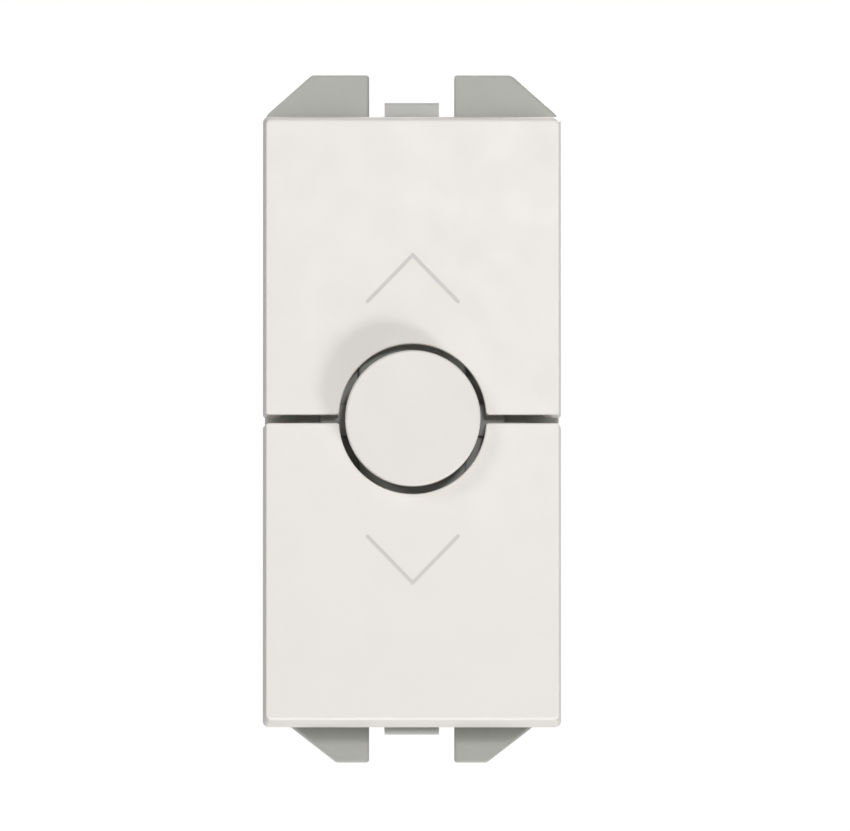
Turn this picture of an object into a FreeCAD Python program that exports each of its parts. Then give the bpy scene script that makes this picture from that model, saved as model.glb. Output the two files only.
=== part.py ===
import FreeCAD, Part

import math
import os

# Clip-in dimmer module for a 22.5 x 45 mm modular wall frame.
#
# Two hinged keys (brighter, dimmer) meet round a central push-button.  A grey
# chassis carries them on its deck, rests on the frame with four ears and holds
# with two sprung latches.  A rear housing holds the electronics and three
# rising-cage screw terminals.
#
# Row frame, millimetres: X to the right, Y into the wall, Z up.  The front faces
# -Y.  The origin is the button's axis on the plane where the ears rest (y = 0).

V = FreeCAD.Vector

# ---------------------------------------------------------------- driving dimensions
# Face of the module
FACE_Y = -9.6               # front of the keys
SKIRT_END_Y = -2.8          # rear edge of the keys' skirts
FACE_HALF_W = 10.87         # half width of the face at the front
FACE_HALF_H = 22.30         # half height of the face at the front
SIDE_DRAFT = 0.23           # how far the skirt's sides lean out from front to rear
END_DRAFT = 0.445           # the same at the outer ends
KEY_SKIN = 1.5              # thickness of a key's face
KEY_ROOT_Y = FACE_Y + KEY_SKIN - 0.2    # ribs and legs start inside the face
KEY_WALL = 1.2              # thickness of a key's skirt
KEY_GAP = 0.63              # slit between the two keys
CORNER_R = 0.45             # corners of the face, seen from the front
END_EDGE_R = 0.3            # rounding of the face's edge at its outer end
SIDE_EDGE_R = 0.1           # rounding of the face's other edges
SLIT_CORNER_R = 0.2         # corners of a key at the ends of the slit
HOLE_R = 5.45               # round hole for the button
HOLE_SHIFT = 0.12           # each key's half of the hole sits this far from the centre
HORN_R = 0.25               # corners between the hole and the slit
LIP_END_Y = -7.8            # rear edge of the wall along the slit
LIP_T = 1.0
RIB_T = 0.7                 # thickness and height of the ribs inside a key
RIB_Z = (8.4, 13.2, 18.9)   # ribs across a key
RIB_X = 6.4                 # ribs along it
PAD_R = 1.1                 # boss that centres the key's spring
HOOK_X = (5.9, 7.1)         # stop hook: a leg through a slot in the deck
HOOK_Z = (2.2, 3.2)
HOOK_TIP_Y = -4.3
HOOK_CATCH = 0.55           # how far a stop hook's nose reaches past its leg
HOOK_PLAY = 0.05            # between a hook's nose and the deck
SLOT_PLAY = 0.15            # between a hooked leg and the edge that its nose catches
FLEX_ROOM = 0.55            # room on the leg's other side, so that it can bend and snap in

# Direction marks, cut shallow into the keys
MARK_TIP_Z = 12.15
MARK_FOOT_Z = 8.7
MARK_HALF_W = 3.35
MARK_STROKE = 0.26
MARK_DEPTH = 0.06

# Button
BUTTON_R = 5.0
BUTTON_FRONT_Y = -11.8
BUTTON_REAR_Y = -8.2
BUTTON_EDGE_R = 0.15
BUTTON_WALL = 1.0
BUTTON_FLOOR = 1.2          # thickness of the button's face
STEM_R = 2.0
STEM_LOST = 0.52            # the stem's free travel before it works the switch
LEG_HALF_W = 1.1            # the button's two hooked legs
LEG_Z = (3.55, 4.3)
LEG_TIP_Y = -4.1
LEG_CATCH = 0.5
RUNNING = 0.05              # radial clearance of every running fit

# Key hinge
HINGE_Y = -4.2
HINGE_Z = 20.0
AXLE_R = 0.8
AXLE_TIP_X = 9.65
CLIP_X = (8.8, 10.2)        # the open clip round an axle
CLIP_R = 1.75
CLIP_WEB_HALF = 0.9
CLIP_MOUTH_HALF = 0.68      # narrower than the axle, so the clip snaps on

# Chassis
PEDESTAL_HALF_W = 8.6
PEDESTAL_HALF_H = 20.7
PEDESTAL_WALL = 1.2
DECK_FRONT_Y = -6.1
DECK_SIDE_Y = -5.5          # lower shoulders of the deck
DECK_REAR_Y = -4.9
DECK_STEP_X = 6.85
TOWER_HALF_W = 4.0
TOWER_HALF_H = 7.2
TOWER_FRONT_Y = -7.0
SILL_FRONT_Y = -7.0         # low ridge of the deck behind the slit
SILL_SIDE_Y = -6.3          # its lower ends, on the deck's shoulders
SILL_HALF_H = 1.2
FLANGE_FRONT_Y = -1.8
FLANGE_REAR_Y = -0.2
FLANGE_HALF_W = 10.95
FLANGE_HALF_H = 21.6
EAR_INNER_X = 3.18
EAR_SEAT_Z = 22.2           # the raised seats start here
TOP_EAR_Z = 25.92
TOP_EAR_FLAT_X = 7.45
TOP_EAR_CORNER_Z = 22.83
BOTTOM_EAR_Z = 25.33
BOTTOM_EAR_FLAT_X = 5.61
BOTTOM_EAR_CORNER_Z = 21.21
LATCH_NOTCH_Z = 19.8
LATCH_NOTCH_HALF_W = 2.45
COLLAR_HALF_W = 9.2
COLLAR_HALF_H = 18.6
COLLAR_WALL = 1.1
COLLAR_END_Y = 3.2
SPRING_CUP_R = 2.4
SPRING_WELL_R = 1.9
POST_R = 1.3                # posts that carry the key board
POST_PEG_R = 0.6

# Key board and its switches
BOARD_FRONT_Y = -2.4
BOARD_REAR_Y = -1.2
KEY_BOARD_HALF_W = 7.0
KEY_BOARD_HALF_H = 18.8
SWITCH_Z = 10.4             # the outer switches lie under the direction marks
SWITCH_HALF = 3.0
SWITCH_FRONT_Y = -4.6
SWITCH_SHELL = 0.25
PLUNGER_TIP_Y = -5.4
PLUNGER_R = 1.5
PUSHER_R = 1.2
SPRING_Z = 16.3
SPRING_SEAT_Y = -3.6
PEG_X = 5.6
PEG_Z = 17.2

# Rear housing
HOUSING_HALF_W = 10.6
HOUSING_HALF_H = 20.0
HOUSING_WALL = 1.3
HOUSING_REAR_Y = 30.0
HOUSING_CORNER_R = 1.2
SNAP_Z = 12.0               # middle of the snap windows
SNAP_HALF_H = 1.5
VENT_HALF = 0.6             # half width of a vent slot
SIDE_VENTS = 6
SIDE_VENT_PITCH = 3.4
SIDE_VENT_Y = (8.5, 22.5)
END_VENTS = 4
END_VENT_PITCH = 3.2
END_VENT_Y = (15.5, 24.5)
PANEL_DEPTH = 0.25          # every recessed panel
SIDE_PANEL = ((7.0, 24.0), (-9.0, 15.0))        # y and z of the blank label's panel
REAR_PANEL = ((-7.6, 7.6), (-8.2, 13.4))        # x and z of the rear panel
FIELD_HALF_W = 2.75         # panel round each driver hole
FIELD_HALF_H = 2.9

# Terminals
TERMINALS = {"line": -6.1, "load": 0.0, "remote": 6.1}
TERMINAL_Z = -15.3
SHELF_Z = -11.4             # middle of the shelf over the terminals
SHELF_T = 1.0
CHAMBER_HALF_W = 2.6
CHAMBER_FRONT_Y = 16.9
CAGE_Y = (18.1, 24.35)
CAGE_HALF_W = 2.4
CAGE_HALF_H = 2.5
CAGE_SIDE = 0.9
CAGE_FLOOR = 1.1
CONTACT_Y = (22.2, 23.0)
CONTACT_HALF_W = 1.35
SCREW_TIP_Y = 23.05
SCREW_HEAD_Y = (26.9, 28.5)
SCREW_HEAD_R = 2.35
SCREW_R = 1.45
SCREW_HOLE_R = 1.5
ACCESS_R = 2.1
FUNNEL = 0.45               # countersink of the driver holes
WIRE_HOLE_R = 1.8
WIRE_Y = 20.7

# Latches
LATCH_PIVOT = (12.0, 20.85)     # y, z
LATCH_HALF_W = 2.02
LATCH_STUB_R = 0.6
LATCH_STUB_X = 3.1
TOP_TAB_Z = 23.82
BOTTOM_TAB_Z = 23.25
TAB_FRONT_Y = -2.5              # the tab stands in front of the ears
TAB_ROOT_Y = -1.5
TAB_LOW_Z = 21.95               # in front of its root it clears the deck when released
STRIP_Y = (0.2, 4.4)            # the bowed strip under a latch
STRIP_HALF_W = 1.3
STRIP_T = 0.15
STRIP_RISE = 0.9
POCKET_DEPTH = 0.25             # it lies in a shallow pocket of the housing's end
POCKET_PLAY = 0.15

# Main board
MAIN_X = (-3.4, -1.8)
MAIN_Y = (3.0, 28.2)
MAIN_HALF_H = 18.2
MAIN_NOTCH = (15.6, -10.6)      # y, z of the corner cut away for the terminals

# Parts on the main board
CHOKE = (3.0, 11.4, 10.0)       # x, y, z of the choke's centre
CHOKE_R = (3.4, 6.6)            # core radii
CHOKE_HALF_T = 2.6
WINDING_TURNS = 24
WINDING_WIRE_R = 0.33
LEAD_TURNS = (0, 23)            # the winding's first and last turns run on to the board
HEAT_SINK_X = (-9.15, -7.95)
HEAT_SINK_Z = (-6.6, 17.6)
TRANSISTOR_Z = {"upper": 11.9, "lower": 0.6}
TRANSISTOR_HALF = 5.0
TAB_T = 1.25                    # thickness of a transistor's tab
TAB_HOLE_Y = 20.9

OUT = "parts"


# ---------------------------------------------------------------- helpers
def box(x, y, z):
    """A box from three (low, high) pairs."""
    return Part.makeBox(x[1] - x[0], y[1] - y[0], z[1] - z[0], V(x[0], y[0], z[0]))


def both(half):
    """The (low, high) pair of a span centred on zero."""
    return (-half, half)


def cylinder(radius, start, axis, length):
    return Part.makeCylinder(radius, length, V(*start), V(*axis))


def rod_y(radius, y, x=0.0, z=0.0):
    """A cylinder along Y from y[0] to y[1]."""
    return cylinder(radius, (x, y[0], z), (0, 1, 0), y[1] - y[0])


def rod_x(radius, x, y, z):
    """A cylinder along X from x[0] to x[1]."""
    return cylinder(radius, (x[0], y, z), (1, 0, 0), x[1] - x[0])


def fuse(*shapes):
    joined = shapes[0].multiFuse(list(shapes[1:])) if len(shapes) > 1 else shapes[0]
    return joined.removeSplitter()


def cut(shape, *tools):
    for tool in tools:
        shape = shape.cut(tool)
    return shape


def rounded_wire(corners, place):
    """A closed wire with tangent arcs at corners [(a, b, radius), ...].

    place turns a flat (a, b) point into a 3-D one.
    """
    count = len(corners)
    stretches = []
    for i, (a, b, radius) in enumerate(corners):
        here = V(a, b, 0)
        to_last = (V(*corners[i - 1][:2], 0) - here).normalize()
        to_next = (V(*corners[(i + 1) % count][:2], 0) - here).normalize()
        if radius <= 0:
            stretches.append((here, None, here))
            continue
        half = to_last.getAngle(to_next) / 2
        setback = radius / math.tan(half)
        middle = here + (to_last + to_next).normalize() * (radius / math.sin(half) - radius)
        stretches.append((here + to_last * setback, middle, here + to_next * setback))
    edges = []
    for i, (start, middle, end) in enumerate(stretches):
        if middle is not None:
            edges.append(Part.Arc(place(start), place(middle), place(end)).toShape())
        follower = stretches[(i + 1) % count][0]
        if (follower - end).Length > 1e-6:
            edges.append(Part.LineSegment(place(end), place(follower)).toShape())
    return Part.Wire(Part.__sortEdges__(edges))


def front_plane(y):
    """Places (x, z) pairs on the plane y."""
    return lambda p: V(p.x, y, p.y)


def side_plane(x):
    """Places (y, z) pairs on the plane x."""
    return lambda p: V(x, p.x, p.y)


def prism_y(corners, y):
    """An outline in x, z pushed from y[0] to y[1]."""
    face = Part.Face(rounded_wire(corners, front_plane(y[0])))
    return face.extrude(V(0, y[1] - y[0], 0))


def prism_x(corners, x):
    """An outline in y, z pushed from x[0] to x[1]."""
    face = Part.Face(rounded_wire(corners, side_plane(x[0])))
    return face.extrude(V(x[1] - x[0], 0, 0))


def rectangle(x, z, radius=0.0):
    return [(x[0], z[0], radius), (x[1], z[0], radius), (x[1], z[1], radius), (x[0], z[1], radius)]


def round_edges(shape, radius, wanted):
    """Rounds the edges that wanted(edge) picks."""
    edges = [e for e in shape.Edges if wanted(e)]
    return shape.makeFillet(radius, edges)


def round_each_edge(shape, radius_of):
    """Rounds every edge by its own radius_of(edge), where that isn't 0."""
    document = FreeCAD.newDocument()
    sharp = document.addObject("Part::Feature", "sharp")
    sharp.Shape = shape
    soft = document.addObject("Part::Fillet", "soft")
    soft.Base = sharp
    radii = [radius_of(edge) for edge in shape.Edges]
    soft.Edges = [(number, r, r) for number, r in enumerate(radii, start=1) if r]
    document.recompute()
    rounded = soft.Shape.copy()
    FreeCAD.closeDocument(document.Name)
    return rounded


def on_plane_y(edge, y):
    bounds = edge.BoundBox
    return abs(bounds.YMin - y) < 1e-4 and abs(bounds.YMax - y) < 1e-4


def turned_profile(points, x=0.0, z=0.0):
    """Turns a closed (radius, y) outline about the line along Y through x, z."""
    corners = [V(x + r, y, z) for r, y in points]
    face = Part.Face(Part.makePolygon(corners + corners[:1]))
    return face.revolve(V(x, 0, z), V(0, 1, 0), 360)


def coil(mean_r, wire_r, y, turns, z=0.0):
    """A compression spring along Y from y[0] to y[1], wire ends included."""
    length = y[1] - y[0] - 2 * wire_r
    helix = Part.makeHelix(length / turns, length, mean_r)
    profile = Part.Wire(Part.makeCircle(wire_r, V(mean_r, 0, 0), V(0, 1, 0)))
    spring = Part.Wire(helix.Edges).makePipeShell([profile], True, True)
    spring.rotate(V(0, 0, 0), V(1, 0, 0), -90)
    spring.translate(V(0, y[0] + wire_r, z))
    return spring


def mirrored(shape):
    """The same piece on the other side of z = 0."""
    return shape.mirror(V(0, 0, 0), V(0, 0, 1))


def pair(make, *args):
    """The piece at both signs of x."""
    return [make(side, *args) for side in (-1, 1)]


def span(side, low, high):
    """A span of |x| on one side, as a (low, high) pair."""
    return (low, high) if side > 0 else (-high, -low)


# ---------------------------------------------------------------- keys
def stroke(tip_z, foot_z, half_w, width, y):
    """A V-shaped stroke of even width with round ends, as a prism."""
    lean = math.atan2(tip_z - foot_z, half_w)
    across = V(math.sin(lean), math.cos(lean), 0) * (width / 2)
    rise = width / 2 / math.cos(lean)
    along = V(math.cos(lean), -math.sin(lean), 0) * (width / 2)
    foot = V(half_w, foot_z, 0)
    place = front_plane(y[0])
    outer, inner, end = foot + across, foot - across, foot + along
    tip, crotch = V(0, tip_z + rise, 0), V(0, tip_z - rise, 0)

    def flip(p):
        return V(-p.x, p.y, 0)

    edges = [
        Part.LineSegment(place(tip), place(outer)),
        Part.Arc(place(outer), place(end), place(inner)),
        Part.LineSegment(place(inner), place(crotch)),
        Part.LineSegment(place(crotch), place(flip(inner))),
        Part.Arc(place(flip(inner)), place(flip(end)), place(flip(outer))),
        Part.LineSegment(place(flip(outer)), place(tip)),
    ]
    face = Part.Face(Part.Wire([e.toShape() for e in edges]))
    return face.extrude(V(0, y[1] - y[0], 0))


def drafted_block(half_w, z, y):
    """A block that leans out from y[0] to y[1], except on the side of the slit (z[0])."""
    outlines = []
    for depth, side_grow, end_grow in ((y[0], 0, 0), (y[1], SIDE_DRAFT, END_DRAFT)):
        outline = rectangle(both(half_w + side_grow), (z[0], z[1] + end_grow))
        outlines.append(rounded_wire(outline, front_plane(depth)))
    return Part.makeLoft(outlines, True, True)


def key_edge_radius(edge):
    """The rounding of each edge of a key's block: 0 leaves it sharp."""
    bounds = edge.BoundBox
    if bounds.YMax - bounds.YMin > 5:
        if abs(bounds.Center.x) < 0.1:
            return 0
        if abs(abs(bounds.Center.x) - HOLE_R) < 0.3:
            return HORN_R
        return CORNER_R if bounds.ZMin > FACE_HALF_H - 1 else SLIT_CORNER_R
    if bounds.YMax > FACE_Y + 0.01:
        return 0
    return END_EDGE_R if bounds.ZMin > FACE_HALF_H - 1 else SIDE_EDGE_R


def hinge_clip(side):
    """An open clip inside the skirt that snaps on the chassis's axle from the front."""
    wide, open_x = span(side, *CLIP_X), span(side, CLIP_X[0] - 0.1, AXLE_TIP_X + 0.1)
    boss = rod_x(CLIP_R, wide, HINGE_Y, HINGE_Z)
    web = box(wide, (KEY_ROOT_Y, HINGE_Y), (HINGE_Z - CLIP_WEB_HALF, HINGE_Z + CLIP_WEB_HALF))
    bore = rod_x(AXLE_R + RUNNING, open_x, HINGE_Y, HINGE_Z)
    half, flare_half = CLIP_MOUTH_HALF, 1.3
    flare_y, end_y = HINGE_Y + 1.0, HINGE_Y + 2.2
    mouth = prism_x(
        [(HINGE_Y, HINGE_Z - half, 0), (flare_y, HINGE_Z - half, 0), (end_y, HINGE_Z - flare_half, 0),
         (end_y, HINGE_Z + flare_half, 0), (flare_y, HINGE_Z + half, 0), (HINGE_Y, HINGE_Z + half, 0)],
        open_x)
    return fuse(boss, web), fuse(bore, mouth)


def stop_hook(side):
    """A leg through the deck whose nose keeps the key from being pulled off."""
    low, high = HOOK_Z
    catch_y = DECK_REAR_Y + HOOK_PLAY
    return prism_x(
        [(KEY_ROOT_Y, low, 0), (HOOK_TIP_Y, low, 0.2), (HOOK_TIP_Y, high, 0.1),
         (catch_y, high + HOOK_CATCH, 0), (catch_y, high, 0), (KEY_ROOT_Y, high, 0)],
        span(side, *HOOK_X))


def make_key():
    """The upper key; the lower one is its mirror image."""
    slit_z = KEY_GAP / 2
    outer = drafted_block(FACE_HALF_W, (slit_z, FACE_HALF_H), (FACE_Y, SKIRT_END_Y))
    outer = outer.cut(rod_y(HOLE_R, (FACE_Y - 1, SKIRT_END_Y + 1), z=HOLE_SHIFT))
    outer = round_each_edge(outer, key_edge_radius)

    skin_y = FACE_Y + KEY_SKIN
    inner_w, inner_h = FACE_HALF_W - KEY_WALL, FACE_HALF_H - KEY_WALL
    hollow = drafted_block(inner_w, (-1.0, inner_h), (skin_y, SKIRT_END_Y + 0.01))
    shell = outer.cut(hollow)
    lip = box(both(FACE_HALF_W - 0.6), (KEY_ROOT_Y, LIP_END_Y), (slit_z, slit_z + LIP_T))
    lip = lip.cut(rod_y(HOLE_R, (FACE_Y, SKIRT_END_Y), z=HOLE_SHIFT))

    additions, removals = [shell, lip], []
    for boss, bore in pair(hinge_clip):
        additions.append(boss)
        removals.append(bore)
    additions += pair(stop_hook)
    additions.append(rod_y(PUSHER_R, (KEY_ROOT_Y, PLUNGER_TIP_Y - 0.05), z=SWITCH_Z))
    additions.append(rod_y(PAD_R, (KEY_ROOT_Y, skin_y + 0.8), z=SPRING_Z))
    rib_y = (KEY_ROOT_Y, skin_y + RIB_T)
    half = RIB_T / 2
    for rib_z in RIB_Z:
        additions.append(box(both(FACE_HALF_W - 0.8), rib_y, (rib_z - half, rib_z + half)))
    for rib_x in (-RIB_X, RIB_X):
        additions.append(box((rib_x - half, rib_x + half), rib_y, (3.0, FACE_HALF_H - 0.8)))
    key = cut(fuse(*additions), *removals)
    mark_y = (FACE_Y - 0.1, FACE_Y + MARK_DEPTH)
    mark = stroke(MARK_TIP_Z, MARK_FOOT_Z, MARK_HALF_W, MARK_STROKE, mark_y)
    return key.cut(mark).removeSplitter()


# ---------------------------------------------------------------- button
def button_hook(side):
    """A leg through the tower whose nose holds the button in; side is the sign of z."""
    low, high = LEG_Z
    root_y, catch_y = BUTTON_FRONT_Y + BUTTON_FLOOR - 0.2, DECK_REAR_Y + HOOK_PLAY
    leg = prism_x(
        [(root_y, low, 0), (LEG_TIP_Y, low, 0.2), (LEG_TIP_Y, high, 0.1),
         (catch_y, high + LEG_CATCH, 0), (catch_y, high, 0), (root_y, high, 0)], both(LEG_HALF_W))
    return leg if side > 0 else mirrored(leg)


def make_button():
    cap = rod_y(BUTTON_R, (BUTTON_FRONT_Y, BUTTON_REAR_Y))
    cap = round_edges(cap, BUTTON_EDGE_R, lambda e: on_plane_y(e, BUTTON_FRONT_Y))
    ceiling_y = BUTTON_FRONT_Y + BUTTON_FLOOR
    cap = cap.cut(rod_y(BUTTON_R - BUTTON_WALL, (ceiling_y, BUTTON_REAR_Y + 1)))
    stem_end_y = PLUNGER_TIP_Y - STEM_LOST
    stem = rod_y(STEM_R, (ceiling_y - 0.2, stem_end_y))
    stem = round_edges(stem, 0.3, lambda e: on_plane_y(e, stem_end_y))
    return fuse(cap, stem, button_hook(1), button_hook(-1))


# ---------------------------------------------------------------- chassis
def ear_corners(sign, tip_z, flat_x, corner_z, side):
    """Outline of one ear, from inside the flange out to its tip."""
    root_z = FLANGE_HALF_H - 4.0
    points = [(EAR_INNER_X, tip_z, 0.2), (flat_x, tip_z, 0.45), (FLANGE_HALF_W, corner_z, 1.1),
              (FLANGE_HALF_W, root_z, 0), (EAR_INNER_X, root_z, 0)]
    return [(side * x, sign * z, r) for x, z, r in points]


def make_ear(sign, side, y):
    if sign > 0:
        corners = ear_corners(1, TOP_EAR_Z, TOP_EAR_FLAT_X, TOP_EAR_CORNER_Z, side)
    else:
        corners = ear_corners(-1, BOTTOM_EAR_Z, BOTTOM_EAR_FLAT_X, BOTTOM_EAR_CORNER_Z, side)
    return prism_y(corners, y)


def flange():
    """The grey plate behind the keys, its four ears and the ears' raised seats."""
    y = (FLANGE_FRONT_Y, FLANGE_REAR_Y)
    bottom_half_h = BOTTOM_EAR_CORNER_Z
    corners = [(-FLANGE_HALF_W, -bottom_half_h, 0.8), (FLANGE_HALF_W, -bottom_half_h, 0.8),
               (FLANGE_HALF_W, FLANGE_HALF_H, 0.8), (-FLANGE_HALF_W, FLANGE_HALF_H, 0.8)]
    plate = prism_y(corners, y)
    ears = [make_ear(sign, side, y) for sign in (1, -1) for side in (1, -1)]
    plate = fuse(plate, *ears)
    for sign in (1, -1):
        notch = box(both(LATCH_NOTCH_HALF_W), (y[0] - 1, y[1] + 1), (LATCH_NOTCH_Z, 24))
        plate = plate.cut(notch if sign > 0 else mirrored(notch))
    plate = round_edges(plate, 0.25, lambda e: on_plane_y(e, FLANGE_FRONT_Y))
    seats = []
    for sign in (1, -1):
        keep = box(both(20), (y[1] - 0.1, 0.0), (EAR_SEAT_Z, 30))
        keep = keep if sign > 0 else mirrored(keep)
        for side in (1, -1):
            seats.append(make_ear(sign, side, (y[1] - 0.1, 0.0)).common(keep))
    return fuse(plate, *seats)


def pedestal():
    """The hollow block under the keys: deck, tower for the button and outer walls."""
    y = (DECK_FRONT_Y, FLANGE_FRONT_Y + 0.1)
    block = prism_y(rectangle(both(PEDESTAL_HALF_W), both(PEDESTAL_HALF_H), 0.6), y)
    for side in (1, -1):
        shoulder = box(span(side, DECK_STEP_X, 12), (DECK_FRONT_Y - 1, DECK_SIDE_Y), both(17.6))
        block = block.cut(shoulder)
    outline = rectangle(both(TOWER_HALF_W), both(TOWER_HALF_H), 0.4)
    tower = prism_y(outline, (TOWER_FRONT_Y, DECK_REAR_Y))
    tower = round_edges(tower, 0.2, lambda e: on_plane_y(e, TOWER_FRONT_Y))
    sill = box(both(DECK_STEP_X), (SILL_FRONT_Y, DECK_REAR_Y), both(SILL_HALF_H))
    sill = round_edges(sill, 0.15, lambda e: on_plane_y(e, SILL_FRONT_Y))
    side_sill = box(both(PEDESTAL_HALF_W - 0.2), (SILL_SIDE_Y, DECK_REAR_Y), both(SILL_HALF_H))
    axles = [rod_x(AXLE_R, span(side, PEDESTAL_HALF_W - 0.3, AXLE_TIP_X), HINGE_Y, sign * HINGE_Z)
             for sign in (1, -1) for side in (1, -1)]
    return fuse(block, tower, sill, side_sill, *axles)


def pedestal_cuts():
    """The room behind the deck, and every hole through the deck and the tower."""
    inner_w, inner_h = PEDESTAL_HALF_W - PEDESTAL_WALL, PEDESTAL_HALF_H - PEDESTAL_WALL
    tools = [box(both(inner_w), (DECK_REAR_Y, 5), both(inner_h))]
    tools.append(rod_y(STEM_R + RUNNING, (TOWER_FRONT_Y - 1, DECK_REAR_Y + 1)))
    for sign in (1, -1):
        slot_z = (LEG_Z[0] - FLEX_ROOM, LEG_Z[1] + SLOT_PLAY)
        slot = box(both(LEG_HALF_W + 0.2), (TOWER_FRONT_Y - 1, DECK_REAR_Y + 1), slot_z)
        tools.append(slot if sign > 0 else mirrored(slot))
        tools.append(rod_y(PUSHER_R + 0.5, (DECK_FRONT_Y - 1, DECK_REAR_Y + 1), z=sign * SWITCH_Z))
        for side in (1, -1):
            slot_x = span(side, HOOK_X[0] - 0.2, HOOK_X[1] + 0.2)
            slot_z = (HOOK_Z[0] - FLEX_ROOM, HOOK_Z[1] + SLOT_PLAY)
            hook_slot = box(slot_x, (DECK_FRONT_Y - 1, DECK_REAR_Y + 0.01), slot_z)
            tools.append(hook_slot if sign > 0 else mirrored(hook_slot))
    return tools


def spring_cup(sign):
    cup = rod_y(SPRING_CUP_R, (DECK_REAR_Y - 0.2, SPRING_SEAT_Y + 0.6), z=sign * SPRING_Z)
    well = rod_y(SPRING_WELL_R, (DECK_FRONT_Y - 1, SPRING_SEAT_Y), z=sign * SPRING_Z)
    return cup, well


def board_peg(side, sign):
    """A post that carries the key board, with a peg through it staked over at the rear."""
    post = rod_y(POST_R, (DECK_REAR_Y - 0.2, BOARD_FRONT_Y), side * PEG_X, sign * PEG_Z)
    peg = rod_y(POST_PEG_R, (BOARD_FRONT_Y - 0.2, BOARD_REAR_Y + 0.2), side * PEG_X, sign * PEG_Z)
    rear = BOARD_REAR_Y
    outline = [(0, rear), (1.1, rear), (0.9, rear + 0.45), (0, rear + 0.6)]
    head = turned_profile(outline, side * PEG_X, sign * PEG_Z)
    return fuse(post, peg, head)


def snap_nose(side, sign):
    """A wedge on the collar that fills a window of the housing."""
    root_x, tip_x = COLLAR_HALF_W - 0.3, 10.15
    outline = [(root_x, 1.5, 0), (tip_x, 1.5, 0.15), (tip_x, 2.0, 0.1), (root_x, 3.1, 0)]
    outline = [(side * x, y, r) for x, y, r in outline]
    wedge = Part.Face(rounded_wire(outline, lambda p: V(p.x, p.y, -SNAP_HALF_H)))
    wedge = wedge.extrude(V(0, 0, 2 * SNAP_HALF_H))
    wedge.translate(V(0, 0, sign * SNAP_Z))
    return wedge


def make_chassis():
    y = (FLANGE_REAR_Y - 0.1, COLLAR_END_Y)
    collar = prism_y(rectangle(both(COLLAR_HALF_W), both(COLLAR_HALF_H), 0.8), y)
    room = box(both(COLLAR_HALF_W - COLLAR_WALL), (FLANGE_REAR_Y, 5), both(COLLAR_HALF_H - COLLAR_WALL))
    body = fuse(flange(), pedestal(), collar)
    body = cut(body, *pedestal_cuts(), room)
    cups = [spring_cup(sign) for sign in (1, -1)]
    pegs = [board_peg(side, sign) for side in (1, -1) for sign in (1, -1)]
    noses = [snap_nose(side, sign) for side in (1, -1) for sign in (1, -1)]
    body = fuse(body, *[c[0] for c in cups], *pegs, *noses)
    return cut(body, *[c[1] for c in cups])


# ---------------------------------------------------------------- key board
def make_key_board():
    outline = rectangle(both(KEY_BOARD_HALF_W), both(KEY_BOARD_HALF_H), 0.8)
    board = prism_y(outline, (BOARD_FRONT_Y, BOARD_REAR_Y))
    holes = [rod_y(POST_PEG_R + 0.1, (BOARD_FRONT_Y - 1, BOARD_REAR_Y + 1), side * PEG_X, sign * PEG_Z)
             for side in (1, -1) for sign in (1, -1)]
    return cut(board, *holes)


def make_switch(z):
    """The black base of a 6 x 6 mm push switch, with a well for its plunger."""
    half = SWITCH_HALF
    base = prism_y(rectangle(both(half), (z - half, z + half), 0.3),
                   (SWITCH_FRONT_Y + SWITCH_SHELL, BOARD_FRONT_Y - 0.02))
    return base.cut(rod_y(PLUNGER_R + 0.35, (SWITCH_FRONT_Y - 1, -3.1), z=z))


def make_switch_shell(z):
    """The steel cover of a push switch with its four feet."""
    half = SWITCH_HALF
    plate = prism_y(rectangle(both(half), (z - half, z + half), 0.3),
                    (SWITCH_FRONT_Y, SWITCH_FRONT_Y + SWITCH_SHELL))
    plate = plate.cut(rod_y(PLUNGER_R + RUNNING, (SWITCH_FRONT_Y - 1, SWITCH_FRONT_Y + 1), z=z))
    feet = []
    for side in (1, -1):
        for offset in (-2.25, 2.25):
            foot_z = (z + offset - 0.35, z + offset + 0.35)
            upright = box(span(side, half, half + 0.25), (SWITCH_FRONT_Y, BOARD_FRONT_Y - 0.02), foot_z)
            toe = box(span(side, half, half + 1.1), (BOARD_FRONT_Y - 0.27, BOARD_FRONT_Y - 0.02), foot_z)
            feet += [upright, toe]
    return fuse(plate, *feet)


def make_plunger(z):
    """The actuator: a round tip through the cover and a collar under it."""
    tip = rod_y(PLUNGER_R, (PLUNGER_TIP_Y, -3.6), z=z)
    tip = round_edges(tip, 0.15, lambda e: on_plane_y(e, PLUNGER_TIP_Y))
    collar = rod_y(PLUNGER_R + 0.25, (SWITCH_FRONT_Y + SWITCH_SHELL + 0.02, -3.6), z=z)
    return fuse(tip, collar)


def chip(x, z, half_w, half_h, height):
    """A surface-mount part on the rear of the key board."""
    return box((x - half_w, x + half_w), (BOARD_REAR_Y, BOARD_REAR_Y + height), (z - half_h, z + half_h))


def make_key_board_parts():
    """Controller chip with legs, and small passives, on the rear of the key board."""
    x, z = 3.6, 9.0
    body = box((x - 2.0, x + 2.0), (BOARD_REAR_Y + 0.15, BOARD_REAR_Y + 1.6), (z - 3.2, z + 3.2))
    pieces = [body]
    for k in range(5):
        leg_z = z - 2.54 + 1.27 * k
        for side in (1, -1):
            leg = box(span(side, 1.9, 2.9), (BOARD_REAR_Y, BOARD_REAR_Y + 0.3), (leg_z - 0.2, leg_z + 0.2))
            leg.translate(V(x, 0, 0))
            pieces.append(leg)
    controller = fuse(*pieces)
    passives = [chip(4.9, 1.6 - 2.6 * k, 1.0, 0.6, 0.6) for k in range(5)]
    passives += [chip(2.2, 1.6 - 2.6 * k, 0.8, 0.4, 0.45) for k in range(4)]
    return Part.makeCompound([controller] + passives)


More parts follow.
